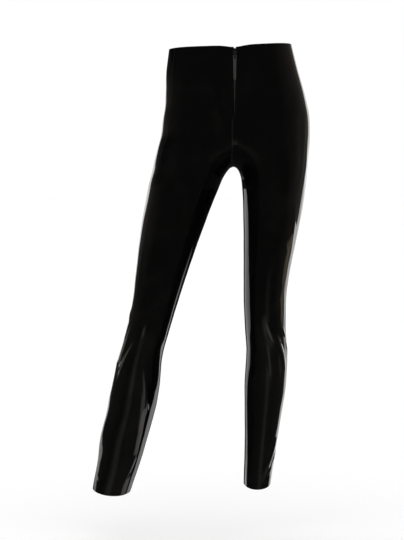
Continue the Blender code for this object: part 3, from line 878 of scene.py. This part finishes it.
def makeLatex(name, tone, gloss, cutEdge):
    material, tree, shader = newMaterial(name)
    sheetNode = addNode(tree, "ShaderNodeGroup", (-450, 100), node_tree=latexGroup)
    setInputs(sheetNode, **{
        "Tone": tone,
        "Haze Tone": latexLook["hazeTone"],
        "Edge Highlight Tone": latexLook["edgeHighlightTone"],
        "Gloss": gloss,
        "Haze Gloss": latexLook["hazeGloss"],
        "Edge Gloss": latexLook["edgeGloss"],
        "Cut Edge Highlight Mask": latexLook["rimEdgeHighlightMask"] if cutEdge else 0.0,
        "Crease Highlight Tone": latexLook["creaseHighlightTone"],
        "Crease Highlight Mask": 0.0,
    })
    if not cutEdge:
        for label, socket in (("cutEdgeHighlightMask", "Cut Edge Highlight Mask"), ("creaseHighlightMask", "Crease Highlight Mask")):
            mask = addNode(tree, "ShaderNodeAttribute", (-700, 0), attribute_name=label)
            tree.links.new(mask.outputs["Fac"], sheetNode.inputs[socket])
    setInputs(shader, IOR=latexLook["ior"])
    joinSurface(tree, sheetNode, shader, latexLook["peelHeight"])
    return material


def makeMetal(name, look):
    material, tree, shader = newMaterial(name)
    wornNode = addNode(tree, "ShaderNodeGroup", (-450, 100), node_tree=metalGroup)
    setInputs(wornNode, Tone=look["tone"], Gloss=look["gloss"])
    setInputs(shader, Metallic=look["metal"])
    joinSurface(tree, wornNode, shader, metalLook["grainHeight"])
    return material


def makeTapeCloth():
    material, tree, shader = newMaterial("zipTapeWeave")
    place = addNode(tree, "ShaderNodeTexCoord", (-900, 0)).outputs["Object"]
    ribs = []
    for direction in ("X", "Z"):
        wave = addNode(tree, "ShaderNodeTexWave", (-650, 0), bands_direction=direction)
        setInputs(wave, Vector=place, **tapeLook["ribs"])
        ribs.append(wave.outputs["Fac"])
    crossed = makeMath(tree, "MULTIPLY", ribs, (-400, 0))
    # the tops of the threads painted lighter, a painted highlight
    threadTopHighlightTone = [value * tapeLook["lift"] for value in tapeLook["tone"][:3]] + [1.0]
    shade = makeMix(tree, crossed, tapeLook["tone"], threadTopHighlightTone, (-200, 200))
    setInputs(shader, **{"Base Color": shade, "Roughness": tapeLook["roughness"]})
    addBump(tree, crossed, tapeLook["height"], shader)
    return material


latex = makeLatex("blackLatex", latexLook["tone"], latexLook["gloss"], False)
cutLatex = makeLatex("cutLatexEdgeHighlight", latexLook["tone"], latexLook["edgeGloss"], True)
tapeCloth = makeTapeCloth()
for pieces, finishes in ((panels, (latex, cutLatex)), (tapes, (tapeCloth, tapeCloth))):
    for piece in pieces.values():
        for finish in finishes:
            piece.data.materials.append(finish)
teeth.data.materials.append(makeMetal("toothMetal", metalLook["teeth"]))
slider.material_slots[0].material = makeMetal("sliderMetal", metalLook["slider"])
pull.material_slots[0].material = makeMetal("pullMetal", metalLook["pull"])
print("finishes made")

cameraSet = {
    "place": (-0.0693, -3.4, -0.25),
    "target": (-0.0693, 0.0, -0.4906),
    "metresPerPixel": 0.0022,
    "pixelsHigh": 540,
    "sensor": 36.0,
}
cameraData = bpy.data.cameras.new("camera")
camera = bpy.data.objects.new("camera", cameraData)
bpy.context.scene.collection.objects.link(camera)
sight = Vector(cameraSet["target"]) - Vector(cameraSet["place"])
camera.location = cameraSet["place"]
camera.rotation_euler = sight.to_track_quat("-Z", "Y").to_euler()
cameraData.sensor_fit = "VERTICAL"
cameraData.sensor_height = cameraSet["sensor"]
cameraData.lens = (
    cameraSet["sensor"] * sight.length / (cameraSet["pixelsHigh"] * cameraSet["metresPerPixel"])
)
bpy.context.scene.camera = camera

studio = {
    "floorPlace": (0.0, 0.0, -1.08),
    "floorSize": (60.0, 60.0, 1.0, 1.0),
    "floorFinish": {
        "Base Color": (0.93, 0.93, 0.93, 1.0),
        "Emission Color": (1.0, 1.0, 1.0, 1.0),
        "Emission Strength": 0.13,
        "Roughness": 0.9,
    },
    "white": (1.0, 1.0, 1.0, 1.0),
    # what the gloss sees where no card stands: behind, in front, and in front looking well down
    "darkBehind": (0.008, 0.008, 0.008, 1.0),
    "dark": (0.031, 0.0303, 0.0296, 1.0),
    "darkBelow": (0.037, 0.0358, 0.0343, 1.0),
    "belowRange": (-0.05, -0.50),  # height of the sight line, from dark to darkBelow
    "inFrontRange": (0.55, -0.05),  # its depth, from darkBehind to dark
    "cardSteps": 16,
    "mirrorDepth": 1.5,
    "warmTint": (0.0, 0.10, 0.24),  # what full warmth takes off red, green and blue
    "flagPlace": (-0.005, 0.06, -0.312),
    "flagSize": (0.25, 0.28, 1.0, 1.0),
    "flagFinish": {
        "Base Color": (0.0, 0.0, 0.0, 1.0),
        "Specular IOR Level": 0.0,
        "Emission Color": (1.0, 0.97, 0.94, 1.0),
        "Emission Strength": 0.018,
    },
}

# The cards are white and grey boards that only the gloss of one leg sees. A row is a height on
# the leg, the slope up to the card in degrees, the directions that the card runs between, and
# its strength at both ends, or one for both. Directions are round from straight behind: 90 is +X.
# place is where on the leg they are seen: 1 is its outer edge, -1 its inner edge.
cards = (
    {
        "name": "rimBehindLeft", "leg": "left", "place": 1, "distance": 1.2, "warmth": 0.0,
        "rows": (
            (-1.000, -18, 0, 60, 1.9),
            (-0.911, -16, 0, 59, 1.9),
            (-0.820, -15, 0, 50, 1.9),
            (-0.700, -12, 0, 49, 1.9),
            (-0.625, -8, 0, 56, 1.9, 0.9),
            (-0.559, -8, 0, 49, 1.9),
            (-0.339, -6, 0, 46, 1.9),
            (-0.229, 0, 0, 41, 1.9),
            (-0.119, 8, 0, 39, 1.9),
            (-0.020, 14, 0, 30, 1.9),
            (0.060, 25, 0, 22, 1.9),
        ),
    },
    {
        "name": "rimBehindRight", "leg": "right", "place": 1, "distance": 1.2, "warmth": 0.0,
        "rows": (
            (-1.080, 0, -88, 0, 1.7, 0.5),
            (-0.955, 0, -78, 0, 1.8, 0.5),
            (-0.911, -1, -68, 0, 1.7, 1.0),
            (-0.870, -1, -60, 0, 1.7, 1.4),
            (-0.825, -1, -32, 0, 1.4, 1.9),
            (-0.785, 0, -14, 0, 1.0, 1.9),
            (-0.745, 0, -28, 0, 1.7, 1.9),
            (-0.669, 1, -33, 0, 1.9),
            (-0.559, -1, -28, 0, 1.9),
            (-0.449, 1, -28, 0, 1.9),
            (-0.339, 6, -37, 0, 1.9),
            (-0.229, 8, -30, 0, 1.9),
            (-0.119, 8, -18, 0, 1.6, 1.9),
            (0.000, 8, -16, 0, 1.6, 1.9),
        ),
    },
    {
        "name": "greyInside", "leg": "left", "place": -1, "distance": 0.6, "warmth": 0.0,
        "rows": (
            (-1.060, -14, -62, -28, 1.7),
            (-0.955, -11, -62, -32, 1.7),
            (-0.911, -10, -58, -34, 1.2),
            (-0.845, -9, -50, -30, 0.95),
            (-0.779, -10, -47, -28, 0.9),
            (-0.713, -9, -55, -26, 0.85),
            (-0.625, -12, -68, -26, 0.9),
            (-0.559, -8, -68, -26, 0.85),
            (-0.449, -3, -53, -24, 0.75),
            (-0.340, -3, -48, -22, 0.75),
            (-0.308, -3, -40, -26, 0.7),
        ),
    },
    {
        "name": "insideThigh", "leg": "right", "place": -1, "distance": 0.6, "warmth": 0.0,
        "rows": (
            (-1.060, -30, 24, 80, 0.5, 2.2),
            (-0.955, -27, 24, 78, 0.5, 2.2),
            (-0.911, -25, 24, 78, 0.5, 2.2),
            (-0.845, -25, 24, 77, 0.5, 2.1),
            (-0.779, -20, 24, 66, 0.5, 1.7),
            (-0.713, -14, 22, 40, 0.6, 1.1),
            (-0.647, -17, 26, 38, 1.2),
            (-0.559, -16, 34, 45, 0.8),
            (-0.470, -16, 36, 45, 0.4),
            (-0.438, -16, 38, 44, 0.3),
        ),
    },
    {
        "name": "calfBand", "leg": "right", "place": -1, "distance": 0.45, "warmth": 0.4,
        "rows": (
            (-1.060, -32, 100, 146, 1.3, 0.9),
            (-0.955, -27, 100, 142, 1.2, 0.9),
            (-0.911, -25, 100, 132, 1.4, 0.8),
            (-0.845, -27, 99, 126, 1.4, 0.8),
            (-0.812, -26, 101, 126, 1.1, 0.8),
            (-0.790, -25.5, 108, 126, 0.15),
            (-0.765, -25, 110, 124, 0.0),
        ),
    },
    {
        "name": "warmSideLeft", "leg": "left", "place": 1, "distance": 1.5, "warmth": 1.0,
        "rows": (
            (-1.000, -18, 54, 130, 0.06, 0.0),
            (-0.625, -8, 44, 130, 0.10, 0.0),
            (-0.339, -6, 40, 130, 0.20, 0.0),
            (-0.119, 8, 34, 130, 0.20, 0.0),
            (0.060, 25, 20, 130, 0.22, 0.0),
        ),
    },
    {
        "name": "warmSideRight", "leg": "right", "place": 1, "distance": 1.5, "warmth": 0.8,
        "rows": (
            (-1.080, 0, -130, -88, 0.02, 0.05),
            (-0.785, 0, -130, -20, 0.02, 0.05),
            (-0.700, 0, -120, -34, 0.01, 0.04),
            (-0.559, -1, -120, -28, 0.0, 0.05),
            (-0.449, 1, -120, -28, 0.0, 0.09),
            (-0.339, 6, -120, -30, 0.0, 0.15),
            (-0.229, 8, -120, -26, 0.0, 0.10),
            (-0.119, 8, -120, -20, 0.0, 0.035),
            (0.000, 8, -120, -18, 0.0, 0.03),
        ),
    },
    {
        "name": "stripBeforeLeft", "leg": "left", "place": 0, "distance": 0.9, "warmth": 0.3,
        "rows": (
            (-1.060, -30, 150, 200, 0.20),
            (-0.950, -30, 152, 198, 0.17),
            (-0.700, -24, 152, 198, 0.15),
            (-0.600, -10, 152, 198, 0.05),
        ),
        "soft": 2.0,
    },
    {
        "name": "stripBeforeRight", "leg": "right", "place": 0, "distance": 0.9, "warmth": 0.3,
        "rows": (
            (-1.060, -35, 157, 207, 0.17),
            (-0.955, -34, 158, 208, 0.15),
            (-0.911, -33, 164, 220, 0.12),
            (-0.867, -31.5, 156, 232, 0.06),
            (-0.823, -30.5, 170, 226, 0.09),
            (-0.779, -29, 177, 217, 0.17),
            (-0.724, -27, 182, 216, 0.25),
            (-0.658, -21, 172, 220, 0.10),
            (-0.625, -15, 182, 214, 0.14),
            (-0.590, -12, 184, 212, 0.03),
        ),
        "soft": 2.0,
    },
    {
        "name": "calfFillLeft", "leg": "left", "place": 0, "distance": 1.0, "warmth": 0.5,
        "rows": (
            (-1.080, -30, 90, 270, 0.075),
            (-0.850, -28, 90, 270, 0.075),
            (-0.700, -22, 90, 270, 0.040),
            (-0.620, -12, 90, 270, 0.0),
        ),
        "soft": 1.0,
    },
    {
        "name": "calfFillRight", "leg": "right", "place": 0, "distance": 1.0, "warmth": 0.5,
        "rows": (
            (-1.080, -34, 90, 270, 0.085),
            (-0.850, -31, 90, 270, 0.085),
            (-0.720, -26, 90, 270, 0.040),
            (-0.640, -14, 90, 270, 0.0),
        ),
        "soft": 1.0,
    },
    {
        "name": "kneeGlintLeft", "leg": "left", "place": 1, "distance": 1.0, "warmth": 1.6,
        "rows": (
            (-0.680, -8, 64, 72, 0.0),
            (-0.635, -8, 60, 84, 0.35),
            (-0.600, -7, 56, 78, 0.60),
            (-0.575, -7, 60, 92, 0.60),
            (-0.545, -7, 52, 72, 0.35),
            (-0.510, -6, 50, 60, 0.0),
        ),
        "soft": 0.6,
    },
    {
        "name": "brownInside", "leg": "left", "place": -1, "distance": 0.55, "warmth": 2.2,
        "rows": (
            (-0.860, -10, -92, -88, 0.0),
            (-0.800, -10, -94, -84, 0.45),
            (-0.760, -10, -84, -76, 0.20),
            (-0.720, -9, -92, -80, 0.50),
            (-0.680, -10, -84, -77, 0.30),
            (-0.640, -10, -88, -80, 0.35),
            (-0.590, -9, -80, -74, 0.40),
            (-0.550, -8, -76, -71, 0.40),
            (-0.500, -5, -66, -62, 0.15),
        ),
        "soft": 0.6,
    },
)


def makeGlow(name, warmth):
    material = bpy.data.materials.new(name)
    material.use_nodes = True
    tree = material.node_tree
    tree.nodes.clear()
    # Only the first mirror image counts, so one leg doesn't pass the cards on to the other.
    ray = addNode(tree, "ShaderNodeLightPath", (-500, 100))
    strength = addNode(tree, "ShaderNodeAttribute", (-250, -100), attribute_name="strength")
    depths = (ray.outputs["Ray Depth"], studio["mirrorDepth"])
    first = makeMath(tree, "LESS_THAN", depths, (-250, 100))
    once = makeMath(tree, "MULTIPLY", (first, strength.outputs["Fac"]), (-120, 0))
    glow = addNode(tree, "ShaderNodeEmission", (0, -100))
    tone = [1.0 - share * warmth for share in studio["warmTint"]] + [1.0]
    setInputs(glow, Color=tone, Strength=once)
    clear = addNode(tree, "ShaderNodeBsdfTransparent", (0, 100))
    both = addNode(tree, "ShaderNodeAddShader", (200, 0))
    tree.links.new(clear.outputs["BSDF"], both.inputs[0])
    tree.links.new(glow.outputs["Emission"], both.inputs[1])
    end = addNode(tree, "ShaderNodeOutputMaterial", (400, 0))
    tree.links.new(both.outputs["Shader"], end.inputs["Surface"])
    return material


legPieces = {}
for sideName in sideNames.values():
    legPieces[sideName] = bpy.data.collections.new(f"{sideName}LegPieces")
    for placeName in placeNames.values():
        legPieces[sideName].objects.link(panels[f"{placeName}_{sideName}"])


def legSpot(leg, place, height):
    # A spot on the leg's outer edge, inner edge or middle at that height.
    side = 1 if leg == "left" else -1
    drop = min(max(-height, 0.0), form["length"])
    outer = curveAt("outer", drop)
    inner = max(curveAt("inner", drop), 0.0)
    x = (outer + inner) / 2 + place * (outer - inner) / 2
    y = curveAt("side", drop)
    if side < 0:
        x = x * curveAt("widen", drop) + curveAt("aside", drop)
        y -= curveAt("forward", drop)
    return side * x, y


def onlyInGloss(board):
    board.visible_camera = False
    board.visible_diffuse = False
    board.visible_shadow = False


def makeBoard(name, place, size, finish):
    shape = bmesh.new()
    matrix = Matrix.Translation(place) @ Matrix.Diagonal(size)
    bmesh.ops.create_grid(shape, x_segments=1, y_segments=1, size=0.5, matrix=matrix)
    board = finishObject(name, shape)
    paint, _, shader = newMaterial(f"{name}Paint")
    setInputs(shader, **finish)
    board.data.materials.append(paint)
    return board


def makeCard(name, leg, place, distance, warmth, rows, soft=0.0):
    shape = bmesh.new()
    steps = studio["cardSteps"]
    rings = []
    strengths = []
    for height, slope, start, end, *ends in rows:
        ring = []
        spotX, spotY = legSpot(leg, place, height)
        up = height + distance * math.tan(math.radians(slope))
        for step in range(steps + 1):
            share = step / steps
            turn = math.radians(start + (end - start) * share)
            x = spotX + distance * math.sin(turn)
            y = spotY + distance * math.cos(turn)
            ring.append(shape.verts.new((x, y, up)))
            strength = ends[0] + (ends[-1] - ends[0]) * share
            strengths.append(strength * math.sin(math.pi * share) ** soft if soft else strength)
        rings.append(ring)
    for low, high in zip(rings, rings[1:]):
        for i in range(steps):
            shape.faces.new((low[i], low[i + 1], high[i + 1], high[i]))
    card = finishObject(name, shape)
    glow = card.data.attributes.new("strength", "FLOAT", "POINT")
    glow.data.foreach_set("value", strengths)
    card.data.materials.append(makeGlow(f"{name}Glow", warmth))
    card.light_linking.receiver_collection = legPieces[leg]
    onlyInGloss(card)


for card in cards:
    makeCard(**card)

# A near black flag under the crotch keeps the inside cards out of its gloss.
onlyInGloss(makeBoard("blackFlag", studio["flagPlace"], studio["flagSize"], studio["flagFinish"]))
floor = makeBoard("studioFloor", studio["floorPlace"], studio["floorSize"], studio["floorFinish"])
floor.visible_glossy = False


def makeWorld():
    # White for every ray but the gloss, which sees a dark room.
    world = bpy.data.worlds.new("studio")
    bpy.context.scene.world = world
    world.use_nodes = True
    tree = world.node_tree
    tree.nodes.clear()
    direction = addNode(tree, "ShaderNodeTexCoord", (-1100, -200))
    sight = addNode(tree, "ShaderNodeSeparateXYZ", (-900, -200))
    setInputs(sight, Vector=direction.outputs["Generated"])
    height, depth = sight.outputs["Z"], sight.outputs["Y"]
    below = makeRange(tree, height, *studio["belowRange"], (-700, -200), kind="SMOOTHSTEP")
    room = makeMix(tree, below, studio["dark"], studio["darkBelow"], (-500, -200))
    inFront = makeRange(tree, depth, *studio["inFrontRange"], (-700, -450), kind="SMOOTHSTEP")
    halves = makeMix(tree, inFront, studio["darkBehind"], room, (-300, -300))
    ray = addNode(tree, "ShaderNodeLightPath", (-600, 0))
    sky = makeMix(tree, ray.outputs["Is Glossy Ray"], studio["white"], halves, (-300, 0))
    background = addNode(tree, "ShaderNodeBackground", (0, 0))
    setInputs(background, Color=sky)
    end = addNode(tree, "ShaderNodeOutputWorld", (200, 0))
    setInputs(end, Surface=background.outputs["Background"])


makeWorld()
bpy.context.scene.view_settings.view_transform = "Standard"
print("studio made")
